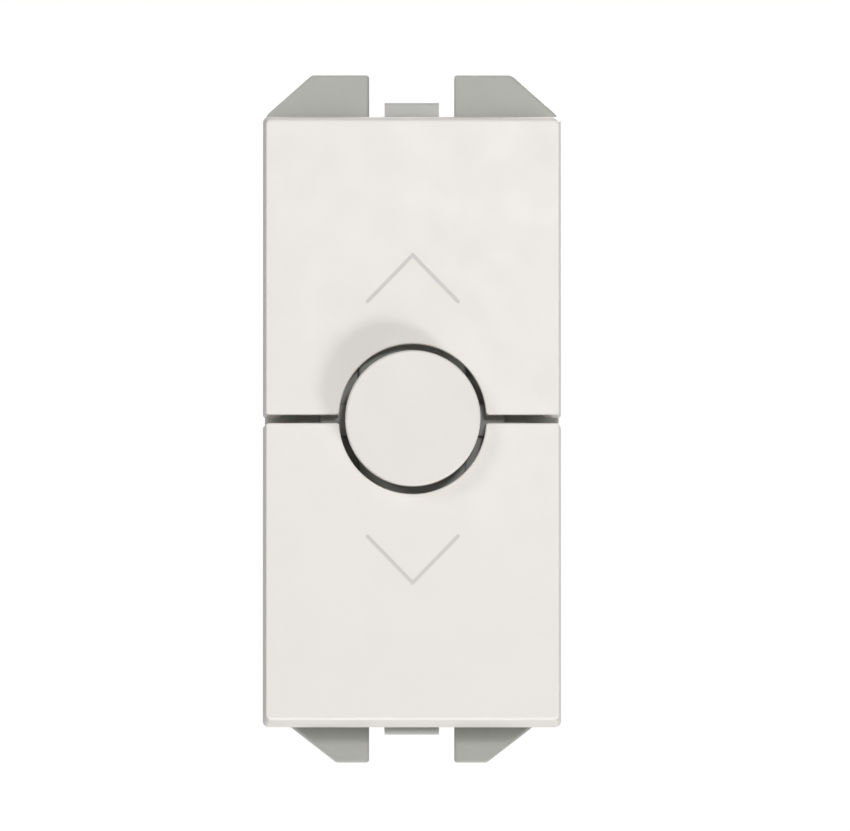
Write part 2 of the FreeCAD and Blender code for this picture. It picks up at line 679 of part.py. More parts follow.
def make_board_link():
    """Pins that join the key board to the main board, in their plastic strip."""
    x0 = MAIN_X[1]
    strip = box((x0, x0 + 2.4), (BOARD_REAR_Y, BOARD_REAR_Y + 2.4), (-7.62, 7.62))
    pins = [box((x0, x0 + 0.64), (BOARD_REAR_Y + 2.3, 5.6), (k * 2.54 - 0.32, k * 2.54 + 0.32))
            for k in (-2.5, -1.5, -0.5, 0.5, 1.5, 2.5)]
    return fuse(strip, *pins)


# ---------------------------------------------------------------- springs
def make_key_spring():
    return coil(1.5, 0.17, (FACE_Y + KEY_SKIN + 0.02, SPRING_SEAT_Y - 0.02), 5.0, SPRING_Z)


def make_button_spring():
    return coil(2.6, 0.2, (BUTTON_FRONT_Y + BUTTON_FLOOR + 0.02, TOWER_FRONT_Y - 0.02), 4.0)


# ---------------------------------------------------------------- latches
def make_latch(tab_z):
    """A lever pivoted on the housing: nose behind the frame's edge, release tab in front of it."""
    pivot_y, pivot_z = LATCH_PIVOT
    outline = [(pivot_y, pivot_z - 0.65, 0), (TAB_ROOT_Y, 21.2, 0.2), (TAB_ROOT_Y, TAB_LOW_Z, 0.2),
               (TAB_FRONT_Y, TAB_LOW_Z, 0.2), (TAB_FRONT_Y, tab_z, 0.3), (-0.15, tab_z, 0.25),
               (-0.15, 22.15, 0.15), (1.65, 22.15, 0.1), (1.65, 22.95, 0.15), (2.3, 22.95, 0.3),
               (5.2, 21.9, 1.0), (pivot_y, pivot_z + 0.65, 0)]
    lever = prism_x(outline, both(LATCH_HALF_W))
    barrel = rod_x(0.75, both(LATCH_HALF_W), pivot_y, pivot_z)
    stubs = rod_x(LATCH_STUB_R, both(LATCH_STUB_X), pivot_y, pivot_z)
    return fuse(lever, barrel, stubs)


def make_latch_spring():
    """A bowed steel strip between the housing's end and the latch."""
    rest_z = HOUSING_HALF_H - POCKET_DEPTH + 0.01
    y0, y1 = STRIP_Y

    def bow(lift):
        points = [(y0, rest_z + lift), ((y0 + y1) / 2, rest_z + lift + STRIP_RISE), (y1, rest_z + lift)]
        return Part.Arc(*[V(-STRIP_HALF_W, y, z) for y, z in points]).toShape()

    low, high = bow(0), bow(STRIP_T)
    ends = [Part.LineSegment(low.Vertexes[i].Point, high.Vertexes[i].Point).toShape() for i in (0, 1)]
    face = Part.Face(Part.Wire(Part.__sortEdges__([low, high] + ends)))
    return face.extrude(V(2 * STRIP_HALF_W, 0, 0))


# ---------------------------------------------------------------- housing
def bracket(side):
    """One cheek of a latch's pivot, on the top end."""
    pivot_y, pivot_z = LATCH_PIVOT
    cheek = prism_x([(pivot_y - 1.6, HOUSING_HALF_H - 0.3, 0), (pivot_y - 1.1, 21.6, 0.5),
                     (pivot_y + 1.1, 21.6, 0.5), (pivot_y + 1.9, HOUSING_HALF_H - 0.3, 0)],
                    span(side, LATCH_HALF_W + 0.25, LATCH_STUB_X + 0.2))
    return cheek.cut(rod_x(LATCH_STUB_R + RUNNING, span(side, 1.5, 4.0), pivot_y, pivot_z))


def housing_shell():
    y = (FLANGE_REAR_Y, HOUSING_REAR_Y)
    outer = prism_y(rectangle(both(HOUSING_HALF_W), both(HOUSING_HALF_H), HOUSING_CORNER_R), y)
    outer = round_edges(outer, 0.7, lambda e: on_plane_y(e, HOUSING_REAR_Y))
    cheeks = []
    for cheek in pair(bracket):
        cheeks += [cheek, mirrored(cheek)]
    outer = fuse(outer, *cheeks)
    wall = HOUSING_WALL
    inner = prism_y(rectangle(both(HOUSING_HALF_W - wall), both(HOUSING_HALF_H - wall), 0.6),
                    (y[0] - 1, y[1] - wall))
    return outer.cut(inner)


def terminal_walls():
    """Shelf and partitions that make three chambers at the rear of the lower end."""
    inner_w = HOUSING_HALF_W - HOUSING_WALL + 0.2
    y = (CHAMBER_FRONT_Y, HOUSING_REAR_Y - HOUSING_WALL + 0.2)
    low_z = -(HOUSING_HALF_H - HOUSING_WALL + 0.2)
    shelf = box(both(inner_w), y, (SHELF_Z - SHELF_T / 2, SHELF_Z + SHELF_T / 2))
    walls = [box((x - 0.45, x + 0.45), y, (low_z, SHELF_Z)) for x in (-3.05, 3.05)]
    cheeks = [box(span(side, 6.1 + CHAMBER_HALF_W, inner_w), y, (low_z, SHELF_Z)) for side in (1, -1)]
    return [shelf] + walls + cheeks


def board_rails():
    """Ribs that hold the main board's rear and upper edges."""
    rear = HOUSING_REAR_Y - HOUSING_WALL
    top = HOUSING_HALF_H - HOUSING_WALL
    rails = []
    for x in ((MAIN_X[0] - 0.9, MAIN_X[0] - 0.05), (MAIN_X[1] + 0.05, MAIN_X[1] + 0.9)):
        rails.append(box(x, (rear - 1.4, rear + 0.2), (-9.5, 17.0)))
        rails.append(box(x, (6.0, rear), (top - 0.9, top + 0.2)))
    return rails


def housing_cuts():
    """Windows, vents, wire entries, driver holes and the recessed panels."""
    tools = []
    rear = HOUSING_REAR_Y
    window_half = SNAP_HALF_H + 0.1
    for side in (1, -1):
        for sign in (1, -1):
            window = box(span(side, 8, 12), (1.4, 3.2), both(window_half))
            window.translate(V(0, 0, sign * SNAP_Z))
            tools.append(window)
    for k in range(SIDE_VENTS):
        vent_z = SIDE_VENT_PITCH * k - 5.0
        vent = rectangle(SIDE_VENT_Y, (vent_z - VENT_HALF, vent_z + VENT_HALF), VENT_HALF - 0.05)
        tools.append(prism_x(vent, (-12, -8)))
    for k in range(END_VENTS):
        vent_x = END_VENT_PITCH * (k - (END_VENTS - 1) / 2)
        tools.append(box((vent_x - VENT_HALF, vent_x + VENT_HALF), END_VENT_Y, (16, 22)))
    pocket = box(both(STRIP_HALF_W + POCKET_PLAY), (STRIP_Y[0] - POCKET_PLAY, STRIP_Y[1] + 2 * POCKET_PLAY),
                 (HOUSING_HALF_H - POCKET_DEPTH, HOUSING_HALF_H + 1))
    tools += [pocket, mirrored(pocket)]
    tools.append(prism_x(rectangle(*SIDE_PANEL, 0.6), (HOUSING_HALF_W - PANEL_DEPTH, 12)))
    tools.append(prism_y(rectangle(*REAR_PANEL, 0.6), (rear - PANEL_DEPTH, rear + 1)))
    for x in TERMINALS.values():
        field = rectangle((x - FIELD_HALF_W, x + FIELD_HALF_W),
                          (TERMINAL_Z - FIELD_HALF_H, TERMINAL_Z + FIELD_HALF_H), 0.6)
        tools.append(prism_y(field, (rear - PANEL_DEPTH, rear + 1)))
        tools.append(cylinder(WIRE_HOLE_R, (x, WIRE_Y, -22), (0, 0, 1), 4))
        tools.append(rod_y(ACCESS_R, (rear - 2, rear + 1), x, TERMINAL_Z))
        funnel = [(0, rear - FUNNEL), (ACCESS_R, rear - FUNNEL), (ACCESS_R + FUNNEL, rear), (0, rear)]
        tools.append(turned_profile(funnel, x, TERMINAL_Z))
        slot_x = (x - CONTACT_HALF_W - 0.1, x + CONTACT_HALF_W + 0.1)
        slot_y = (CONTACT_Y[0] - 0.1, CONTACT_Y[1] + 0.1)
        tools.append(box(slot_x, slot_y, (SHELF_Z - 1, SHELF_Z + 1)))
    return tools


def make_housing():
    body = fuse(housing_shell(), *terminal_walls(), *board_rails())
    return cut(body, *housing_cuts())


def make_terminal_retainer():
    """The plate that closes the three chambers at the front."""
    half_w = HOUSING_HALF_W - HOUSING_WALL - 0.05
    low_z = -(HOUSING_HALF_H - HOUSING_WALL) + 0.05
    outline = rectangle(both(half_w), (low_z, SHELF_Z + SHELF_T / 2), 0.8)
    return prism_y(outline, (CHAMBER_FRONT_Y - 1.1, CHAMBER_FRONT_Y - 0.02))


# ---------------------------------------------------------------- terminals
def make_cage(x):
    """A rising cage: the screw runs in its rear wall, the wire lies under the contact bar."""
    y0, y1 = CAGE_Y
    outer = prism_y(rectangle((x - CAGE_HALF_W, x + CAGE_HALF_W),
                              (TERMINAL_Z - CAGE_HALF_H, TERMINAL_Z + CAGE_HALF_H)), (y0, y1))
    outer = round_edges(outer, 0.3, lambda e: e.BoundBox.ZMax - e.BoundBox.ZMin > 4)
    inner_half = CAGE_HALF_W - CAGE_SIDE
    window = box((x - inner_half, x + inner_half), (y0 + CAGE_FLOOR, y1 - CAGE_FLOOR), (-20, -10))
    return cut(outer, window, rod_y(SCREW_HOLE_R, (y1 - 2, y1 + 1), x, TERMINAL_Z))


def make_screw(x):
    """A terminal screw with a cross recess and thread rings."""
    pitch, crest, root = 0.5, SCREW_R, SCREW_R - 0.22
    head_y0, head_y1 = SCREW_HEAD_Y
    outline = [(0, SCREW_TIP_Y), (root, SCREW_TIP_Y)]
    y = SCREW_TIP_Y + 0.15
    while y + pitch < head_y0:
        outline += [(crest, y + pitch * 0.4), (crest, y + pitch * 0.5), (root, y + pitch * 0.9)]
        y += pitch
    outline += [(root, head_y0), (SCREW_HEAD_R, head_y0), (SCREW_HEAD_R, head_y1 - 0.3),
                (SCREW_HEAD_R - 0.3, head_y1), (0, head_y1)]
    screw = turned_profile(outline, x, TERMINAL_Z)
    slot_y = (head_y1 - 0.9, head_y1 + 1)
    slot = box((x - 3, x + 3), slot_y, (TERMINAL_Z - 0.35, TERMINAL_Z + 0.35))
    cross = box((x - 0.35, x + 0.35), slot_y, (TERMINAL_Z - 1.5, TERMINAL_Z + 1.5))
    return cut(screw, slot, cross)


def make_contact(x, reach_z):
    """A contact bar through the cage, bent over to the main board above the shelf."""
    y = CONTACT_Y
    bar = box((x - CONTACT_HALF_W, x + CONTACT_HALF_W), y, (-18.2, reach_z))
    board_x = MAIN_X[0] if x < MAIN_X[0] else MAIN_X[1]
    arm = box((min(x, board_x), max(x, board_x)), y, (reach_z - 1.1, reach_z))
    return fuse(bar, arm)


# ---------------------------------------------------------------- main board and its parts
def make_main_board():
    low = -MAIN_HALF_H
    notch_y, notch_z = MAIN_NOTCH
    outline = [(MAIN_Y[0], low, 0.5), (notch_y, low, 0), (notch_y, notch_z, 0.5), (MAIN_Y[1], notch_z, 0),
               (MAIN_Y[1], MAIN_HALF_H, 0.5), (MAIN_Y[0], MAIN_HALF_H, 0.5)]
    return prism_x(outline, MAIN_X)


def make_choke_core():
    x, y, z = CHOKE
    ring = rod_x(CHOKE_R[1], (x - CHOKE_HALF_T, x + CHOKE_HALF_T), y, z)
    ring = ring.cut(rod_x(CHOKE_R[0], (x - 9, x + 9), y, z))
    rims = [e for e in ring.Edges if e.BoundBox.XMax - e.BoundBox.XMin < 1e-6]
    return ring.makeFillet(0.5, rims)


def make_choke_winding():
    """One closed turn of enamelled wire round the core, repeated about its axis."""
    x, y, z = CHOKE
    lift = WINDING_WIRE_R + 0.03
    r0, r1 = CHOKE_R[0] - lift, CHOKE_R[1] + lift
    half_t = CHOKE_HALF_T + lift
    corners = [(-half_t, r0, 0.6), (half_t, r0, 0.6), (half_t, r1, 0.6), (-half_t, r1, 0.6)]
    path = rounded_wire(corners, lambda p: V(p.x, p.y, 0))
    profile = Part.Wire(Part.makeCircle(WINDING_WIRE_R, V(0, r0, 0), V(1, 0, 0)))
    turn = path.makePipeShell([profile], True, True)
    loops = []
    for k in range(WINDING_TURNS):
        loop = turn.copy()
        if k in LEAD_TURNS:
            lead = rod_x(WINDING_WIRE_R, (MAIN_X[1] - x, -half_t), r1 - 1.2, 0)
            loop = fuse(loop, lead)
        loop.rotate(V(0, 0, 0), V(1, 0, 0), (k + 0.5) * 360.0 / WINDING_TURNS)
        loop.translate(V(x, y, z))
        loops.append(loop)
    return Part.makeCompound(loops)


def make_film_capacitor():
    x0 = MAIN_X[1] + 0.4
    body = box((x0, x0 + 6.0), (19.6, 26.8), (3.2, 16.2))
    body = body.makeFillet(0.4, body.Edges)
    legs = [box((MAIN_X[1], x0 + 0.2), (22.9, 23.5), (z - 0.3, z + 0.3)) for z in (4.7, 14.7)]
    return fuse(body, *legs)


def make_smoothing_capacitor():
    """An electrolytic can lying along Z, with its crimp groove."""
    x, y = MAIN_X[1] + 4.35, 8.4
    z0, z1, radius = -15.2, -3.6, 4.0
    can = cylinder(radius, (x, y, z0), (0, 0, 1), z1 - z0)
    can = can.makeFillet(0.4, [e for e in can.Edges if e.BoundBox.ZMax - e.BoundBox.ZMin < 1e-6])
    groove = Part.makeTorus(radius + 0.25, 0.5, V(x, y, z0 + 1.9), V(0, 0, 1))
    leads = []
    for lead_y in (y - 1.75, y + 1.75):
        lead_span = (lead_y - 0.25, lead_y + 0.25)
        leads.append(box((x - 0.25, x + 0.25), lead_span, (z0 - 0.9, z0 + 0.2)))
        leads.append(box((MAIN_X[1], x), lead_span, (z0 - 0.9, z0 - 0.4)))
    return fuse(can.cut(groove), *leads)


def make_varistor():
    x0 = MAIN_X[1] + 0.5
    disc = rod_x(3.4, (x0, x0 + 2.8), 18.6, -5.0)
    disc = disc.makeFillet(0.9, [e for e in disc.Edges if e.BoundBox.XMax - e.BoundBox.XMin < 1e-6])
    legs = [box((MAIN_X[1], x0 + 0.9), (y - 0.25, y + 0.25), (-5.25, -4.75)) for y in (16.6, 20.6)]
    return fuse(disc, *legs)


def make_fuse():
    """A small tube fuse with metal end caps, lying along Z."""
    x, y = MAIN_X[1] + 1.9, 25.6
    tube = cylinder(1.3, (x, y, -6.0), (0, 0, 1), 7.6)
    caps = [cylinder(1.5, (x, y, z), (0, 0, 1), 1.7) for z in (-6.4, 0.3)]
    legs = [box((MAIN_X[1], x), (y - 0.3, y + 0.3), (z - 0.3, z + 0.3)) for z in (-5.5, 1.1)]
    return fuse(tube, *caps, *legs)


def make_heat_sink():
    plate = box(HEAT_SINK_X, (4.4, 27.0), HEAT_SINK_Z)
    lip = box((HEAT_SINK_X[0], -5.4), (25.8, 27.0), HEAT_SINK_Z)
    plate = fuse(plate, lip)
    holes = [rod_x(1.5, (-10, -7), TAB_HOLE_Y, z) for z in TRANSISTOR_Z.values()]
    return cut(plate, *holes)


def make_transistor(z):
    """A plastic power transistor on its metal tab, leads bent over to the main board."""
    x0 = HEAT_SINK_X[1]
    half = TRANSISTOR_HALF
    body = box((x0, x0 + 4.3), (9.0, 17.8), (z - half, z + half))
    body = body.makeFillet(0.3, body.Edges)
    tab = box((x0, x0 + TAB_T), (10.0, 24.2), (z - half + 0.1, z + half - 0.1))
    tab = tab.cut(rod_x(1.75, (x0 - 1, x0 + 3), TAB_HOLE_Y, z))
    leads = []
    for k in (-1, 0, 1):
        lead_z = (z + 2.54 * k - 0.35, z + 2.54 * k + 0.35)
        leads.append(box((x0 + 2.2, x0 + 2.7), (5.6, 9.4), lead_z))
        leads.append(box((x0 + 2.2, MAIN_X[0]), (5.6, 6.1), lead_z))
    return fuse(body, tab, *leads)


def make_transistor_screw(z):
    """A pan-head screw through the tab into the heat sink."""
    x0 = HEAT_SINK_X[1] + TAB_T
    shank = rod_x(1.45, (HEAT_SINK_X[0], x0), TAB_HOLE_Y, z)
    head = rod_x(2.7, (x0, x0 + 1.9), TAB_HOLE_Y, z)
    head = head.makeFillet(0.5, [e for e in head.Edges if e.BoundBox.XMin > x0 + 1.8])
    slot = box((x0 + 1.0, x0 + 3), (TAB_HOLE_Y - 3, TAB_HOLE_Y + 3), (z - 0.35, z + 0.35))
    return fuse(shank, head).cut(slot)


def make_main_board_parts():
    """Small surface-mount parts on the left face of the main board."""
    left = MAIN_X[0]
    parts = []
    for k in range(6):
        z = -16.4 + 2.3 * k
        parts.append(box((left - 0.6, left), (5.2, 7.2), (z - 0.6, z + 0.6)))
        parts.append(box((left - 0.45, left), (8.0, 9.4), (z - 0.4, z + 0.4)))
    driver = box((left - 1.6, left - 0.1), (11.0, 14.6), (-16.6, -11.6))
    legs = [box((left - 0.3, left), (y, y + 0.8), (z - 0.2, z + 0.2))
            for z in (-16.0, -14.73, -13.46, -12.2) for y in (10.3, 14.5)]
    parts.append(fuse(driver, *legs))
    return Part.makeCompound(parts)


# ---------------------------------------------------------------- assembly
def assembly():
    """Every node by name."""
    key, spring, strip = make_key(), make_key_spring(), make_latch_spring()
    pieces = {
        "chassis": make_chassis(),
        "rear_housing": make_housing(),
        "upper_key": key,
        "lower_key": mirrored(key),
        "centre_button": make_button(),
        "upper_key_spring": spring,
        "lower_key_spring": mirrored(spring),
        "button_spring": make_button_spring(),
        "key_board": make_key_board(),
        "key_board_parts": make_key_board_parts(),
        "board_link": make_board_link(),
        "main_board": make_main_board(),
        "main_board_parts": make_main_board_parts(),
        "choke_core": make_choke_core(),
        "choke_winding": make_choke_winding(),
        "film_capacitor": make_film_capacitor(),
        "smoothing_capacitor": make_smoothing_capacitor(),
        "varistor": make_varistor(),
        "fuse": make_fuse(),
        "heat_sink": make_heat_sink(),
        "terminal_retainer": make_terminal_retainer(),
        "upper_latch": make_latch(TOP_TAB_Z),
        "lower_latch": mirrored(make_latch(BOTTOM_TAB_Z)),
        "upper_latch_spring": strip,
        "lower_latch_spring": mirrored(strip),
    }
    for name, z in (("upper", SWITCH_Z), ("centre", 0.0), ("lower", -SWITCH_Z)):
        pieces[f"{name}_switch"] = make_switch(z)
        pieces[f"{name}_switch_cover"] = make_switch_shell(z)
        pieces[f"{name}_plunger"] = make_plunger(z)
    for name, z in TRANSISTOR_Z.items():
        pieces[f"{name}_transistor"] = make_transistor(z)
        pieces[f"{name}_transistor_screw"] = make_transistor_screw(z)
    reach = {"line": -9.0, "load": -9.3, "remote": -7.8}
    for name, x in TERMINALS.items():
        pieces[f"{name}_cage"] = make_cage(x)
        pieces[f"{name}_screw"] = make_screw(x)
        pieces[f"{name}_contact"] = make_contact(x, reach[name])
    return pieces


def main():
    os.makedirs(OUT, exist_ok=True)
    for name, shape in assembly().items():
        solids = shape.Solids
        if not shape.isValid() or not solids or any(s.Volume <= 0 for s in solids):
            print("CHECK", name, shape.isValid(), [round(s.Volume, 3) for s in solids][:4])
        shape.exportStep(os.path.join(OUT, name + ".step"))
        print(f"{name}: {len(solids)} solid(s), {shape.Volume:.1f} mm3")


main()
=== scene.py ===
import math

import bmesh
import bpy
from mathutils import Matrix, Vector


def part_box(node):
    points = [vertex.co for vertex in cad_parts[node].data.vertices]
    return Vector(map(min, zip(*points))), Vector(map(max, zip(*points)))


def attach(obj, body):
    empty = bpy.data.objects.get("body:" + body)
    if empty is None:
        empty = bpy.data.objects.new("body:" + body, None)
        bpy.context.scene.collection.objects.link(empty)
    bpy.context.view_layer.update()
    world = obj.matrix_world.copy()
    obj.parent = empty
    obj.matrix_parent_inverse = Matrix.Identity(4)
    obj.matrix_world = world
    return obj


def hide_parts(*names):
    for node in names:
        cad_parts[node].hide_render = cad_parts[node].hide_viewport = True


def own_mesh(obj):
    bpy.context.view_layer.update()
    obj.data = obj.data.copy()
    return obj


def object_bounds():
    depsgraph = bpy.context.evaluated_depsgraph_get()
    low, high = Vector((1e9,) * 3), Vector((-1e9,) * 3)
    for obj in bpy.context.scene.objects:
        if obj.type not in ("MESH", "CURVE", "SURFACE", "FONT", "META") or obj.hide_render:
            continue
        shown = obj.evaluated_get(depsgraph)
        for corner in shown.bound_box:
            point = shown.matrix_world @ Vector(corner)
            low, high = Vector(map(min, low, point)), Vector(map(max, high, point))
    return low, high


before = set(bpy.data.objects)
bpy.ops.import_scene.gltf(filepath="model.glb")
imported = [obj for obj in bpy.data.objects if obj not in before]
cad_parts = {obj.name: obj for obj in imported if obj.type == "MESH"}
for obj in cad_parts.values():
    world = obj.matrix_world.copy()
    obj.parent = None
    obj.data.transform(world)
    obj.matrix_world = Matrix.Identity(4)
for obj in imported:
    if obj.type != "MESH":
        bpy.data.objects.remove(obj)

# A clip-in dimmer module, seen from the front.  Metres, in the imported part's frame:
# X to the right, Y into the wall, Z up, the button's axis at x = z = 0.

CAD_LOW, CAD_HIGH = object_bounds()
MM = 0.001


# ---------------------------------------------------------------- shader graphs
class Graph:
    """A material's node tree, with short calls for the nodes used here."""

    def __init__(self, name):
        self.material = bpy.data.materials.new(name)
        self.material.use_nodes = True
        self.tree = self.material.node_tree
        self.surface = self.tree.nodes["Principled BSDF"]
        self.place = self.node("ShaderNodeTexCoord").outputs["Object"]

    def node(self, kind, **settings):
        made = self.tree.nodes.new(kind)
        for key, value in settings.items():
            setattr(made, key, value)
        return made

    def feed(self, socket, value):
        """Links an output to a socket, or sets the socket to a number or colour."""
        if isinstance(value, bpy.types.NodeSocket):
            self.tree.links.new(value, socket)
        else:
            socket.default_value = value

    def noise(self, size, detail=2.0, stretch=(1, 1, 1)):
        """Smooth noise with features about size metres across, 0 to 1."""
        place = self.place
        if stretch != (1, 1, 1):
            mapping = self.node("ShaderNodeMapping")
            self.feed(mapping.inputs["Vector"], place)
            mapping.inputs["Scale"].default_value = stretch
            place = mapping.outputs["Vector"]
        made = self.node("ShaderNodeTexNoise")
        self.feed(made.inputs["Vector"], place)
        made.inputs["Scale"].default_value = 1 / size
        made.inputs["Detail"].default_value = detail
        return made.outputs["Fac"]

    def spread(self, value, low, high, start=0.3, end=0.7):
        """Maps start..end of value to low..high."""
        made = self.node("ShaderNodeMapRange")
        self.feed(made.inputs["Value"], value)
        for key, number in (("From Min", start), ("From Max", end), ("To Min", low), ("To Max", high)):
            made.inputs[key].default_value = number
        return made.outputs["Result"]

    def blend(self, factor, first, second):
        """A colour between first and second."""
        made = self.node("ShaderNodeMix", data_type="RGBA")
        self.feed(made.inputs["Factor"], factor)
        self.feed(made.inputs["A"], colour(first))
        self.feed(made.inputs["B"], colour(second))
        return made.outputs["Result"]

    def math(self, operation, first, second=0.0):
        made = self.node("ShaderNodeMath", operation=operation)
        self.feed(made.inputs[0], first)
        self.feed(made.inputs[1], second)
        return made.outputs[0]

    def axis(self, letter):
        """The surface point's X, Y or Z in the part's frame."""
        made = self.node("ShaderNodeSeparateXYZ")
        self.feed(made.inputs[0], self.place)
        return made.outputs[letter]

    def beyond(self, letter, limit):
        """1 where the coordinate is past limit, else 0."""
        return self.math("GREATER_THAN", self.axis(letter), limit)

    def bump(self, height, depth, below=None):
        """Adds a bump of depth metres; below is the bump it lies on."""
        made = self.node("ShaderNodeBump")
        made.inputs["Distance"].default_value = depth
        self.feed(made.inputs["Height"], height)
        if below is not None:
            self.feed(made.inputs["Normal"], below)
        return made.outputs["Normal"]

    def finish(self, base, roughness, normal=None, **fixed):
        self.feed(self.surface.inputs["Base Color"], base)
        self.feed(self.surface.inputs["Roughness"], roughness)
        if normal is not None:
            self.feed(self.surface.inputs["Normal"], normal)
        for key, value in fixed.items():
            self.feed(self.surface.inputs[key.replace("_", " ")], value)
        return self.material


def colour(value):
    """An output as it is, or an (r, g, b) triple with alpha added."""
    return value if isinstance(value, bpy.types.NodeSocket) else (*value, 1.0)


def scaled(rgb, factor):
    return tuple(c * factor for c in rgb)


# ---------------------------------------------------------------- materials
def moulded(name, rgb, roughness, grain=0.12 * MM, depth=0.004 * MM, variation=0.004, **fixed):
    """Injection-moulded plastic: faint cloudiness, a fine grain and an uneven sheen."""
    g = Graph(name)
    clouds = g.noise(9 * MM, 3)
    speckle = g.noise(0.5 * MM, 2)
    base = g.blend(g.spread(clouds, 0, 1), scaled(rgb, 1 - variation), scaled(rgb, 1 + variation))
    base = g.blend(g.spread(speckle, 0, 0.25), base, scaled(rgb, 1 - 2 * variation))
    sheen = g.spread(g.noise(2.2 * MM, 3), roughness - 0.04, roughness + 0.04)
    waves = g.bump(g.noise(5 * MM, 1), 2 * depth)
    return g.finish(base, sheen, g.bump(g.noise(grain, 2), depth, waves), **fixed)


def metal(name, rgb, roughness, stretch=(1, 1, 1), depth=0.003 * MM, tarnish=0.12):
    """Bare or plated metal with drawing or brushing marks along the axis that stretch shrinks."""
    g = Graph(name)
    marks = g.noise(0.15 * MM, 3, stretch)
    clouds = g.noise(2.5 * MM, 3)
    base = g.blend(g.spread(clouds, 0, 1), scaled(rgb, 1 - tarnish), rgb)
    sheen = g.spread(marks, roughness - 0.08, roughness + 0.1)
    return g.finish(base, sheen, g.bump(marks, depth), Metallic=1.0)


def laminate(name):
    """Green solder mask over square-cornered copper areas."""
    g = Graph(name)
    cells = g.node("ShaderNodeTexVoronoi", distance="CHEBYCHEV", feature="F2")
    g.feed(cells.inputs["Vector"], g.place)
    cells.inputs["Scale"].default_value = 1 / (3.4 * MM)
    copper = g.spread(cells.outputs["Distance"], 0, 1, 0.44, 0.46)
    mask, over_copper = (0.008, 0.060, 0.022), (0.016, 0.125, 0.040)
    base = g.blend(copper, mask, over_copper)
    weave = g.noise(0.35 * MM, 1, (1, 1, 0.3))
    base = g.blend(g.spread(weave, 0, 0.18), base, (0.02, 0.09, 0.03))
    sheen = g.spread(g.noise(1.5 * MM, 2), 0.24, 0.38)
    return g.finish(base, sheen, g.bump(copper, 0.035 * MM, g.bump(weave, 0.006 * MM)))


def pin_strip(name, start):
    """Black plastic with bare pins that begin at start along Y."""
    g = Graph(name)
    bare = g.beyond("Y", start)
    clouds = g.spread(g.noise(1.5 * MM, 3), 0, 0.35)
    base = g.blend(clouds, g.blend(bare, BLACK, STEEL), scaled(BLACK, 0.8))
    shine = g.spread(g.noise(0.6 * MM, 2), 0.29, 0.43)
    made = g.finish(base, shine, g.bump(g.noise(0.2 * MM, 2), 0.006 * MM))
    g.feed(g.surface.inputs["Metallic"], bare)
    return made


def capped(name, body, letter, low, high, roughness=0.35):
    """A body colour between low and high along one axis, and bare steel beyond both."""
    g = Graph(name)
    outside = g.math("ADD", g.beyond(letter, high), g.math("SUBTRACT", 1.0, g.beyond(letter, low)))
    clouds = g.spread(g.noise(1.2 * MM, 3), 0, 1)
    plain = g.blend(clouds, scaled(body, 0.88), scaled(body, 1.1))
    base = g.blend(outside, plain, STEEL)
    shine = g.spread(g.noise(0.5 * MM, 2), roughness - 0.07, roughness + 0.07)
    made = g.finish(base, shine, g.bump(g.noise(0.15 * MM, 2), 0.006 * MM))
    g.feed(g.surface.inputs["Metallic"], outside)
    return made


def enamel(name):
    """Lacquered copper wire, with darker and lighter turns."""
    g = Graph(name)
    turn = g.node("ShaderNodeNewGeometry").outputs["Random Per Island"]
    base = g.blend(turn, (0.30, 0.075, 0.018), (0.46, 0.15, 0.035))
    sheen = g.spread(g.noise(0.8 * MM, 2), 0.18, 0.32)
    return g.finish(base, sheen, g.bump(g.noise(0.3 * MM, 1), 0.004 * MM), Metallic=0.85, Coat_Weight=0.6)


def small_parts(name):
    """Surface-mount parts: each in its own shade of black, grey or tan."""
    g = Graph(name)
    part = g.node("ShaderNodeNewGeometry").outputs["Random Per Island"]
    shades = g.node("ShaderNodeValToRGB")
    shades.color_ramp.interpolation = "CONSTANT"
    shades.color_ramp.elements[0].color = (0.012, 0.012, 0.013, 1)
    shades.color_ramp.elements[1].position = 0.5
    shades.color_ramp.elements[1].color = (0.24, 0.15, 0.075, 1)
    g.feed(shades.inputs["Fac"], part)
    base = g.blend(g.spread(g.noise(0.4 * MM, 2), 0, 0.3), shades.outputs["Color"], (0.05, 0.05, 0.05))
    return g.finish(base, g.spread(g.noise(0.6 * MM, 2), 0.4, 0.6), g.bump(g.noise(0.1 * MM, 2), 0.006 * MM))


KEY_WHITE = (0.835, 0.805, 0.765)
BUTTON_WHITE = (0.815, 0.782, 0.742)
CHASSIS_GREY = (0.555, 0.562, 0.525)
LATCH_GREY = (0.600, 0.600, 0.575)
HOUSING_GREY = (0.265, 0.268, 0.262)
RETAINER_CREAM = (0.55, 0.54, 0.50)
BLACK = (0.014, 0.014, 0.015)
IVORY = (0.62, 0.57, 0.47)
CORE_YELLOW = (0.52, 0.43, 0.08)
FILM_YELLOW = (0.60, 0.42, 0.05)
SLEEVE_BLUE = (0.012, 0.014, 0.03)
VARISTOR_BLUE = (0.025, 0.09, 0.34)
CERAMIC = (0.74, 0.71, 0.65)
MARK_GREY = (0.665, 0.650, 0.635)
LABEL_WHITE = (0.74, 0.74, 0.72)
LABEL_INK = (0.30, 0.31, 0.32)
STEEL = (0.62, 0.61, 0.59)
ALUMINIUM = (0.75, 0.75, 0.76)
ZINC = (0.60, 0.61, 0.60)
BRASS = (0.66, 0.47, 0.17)
TIN = (0.70, 0.70, 0.69)

TERMINALS = ("line", "load", "remote")
LINK_BODY = 2.4 * MM            # the pin strip's plastic, from its front end
SLEEVE_BASE = 0.4 * MM          # bare metal below the capacitor's sleeve, and above it
SLEEVE_TOP = 0.2 * MM
FUSE_CAP = 1.7 * MM             # each end cap
TRANSISTOR_TAB = 3.4 * MM       # the bare tab in front of the transistor's body, and the legs behind it
TRANSISTOR_LEGS = 6.4 * MM


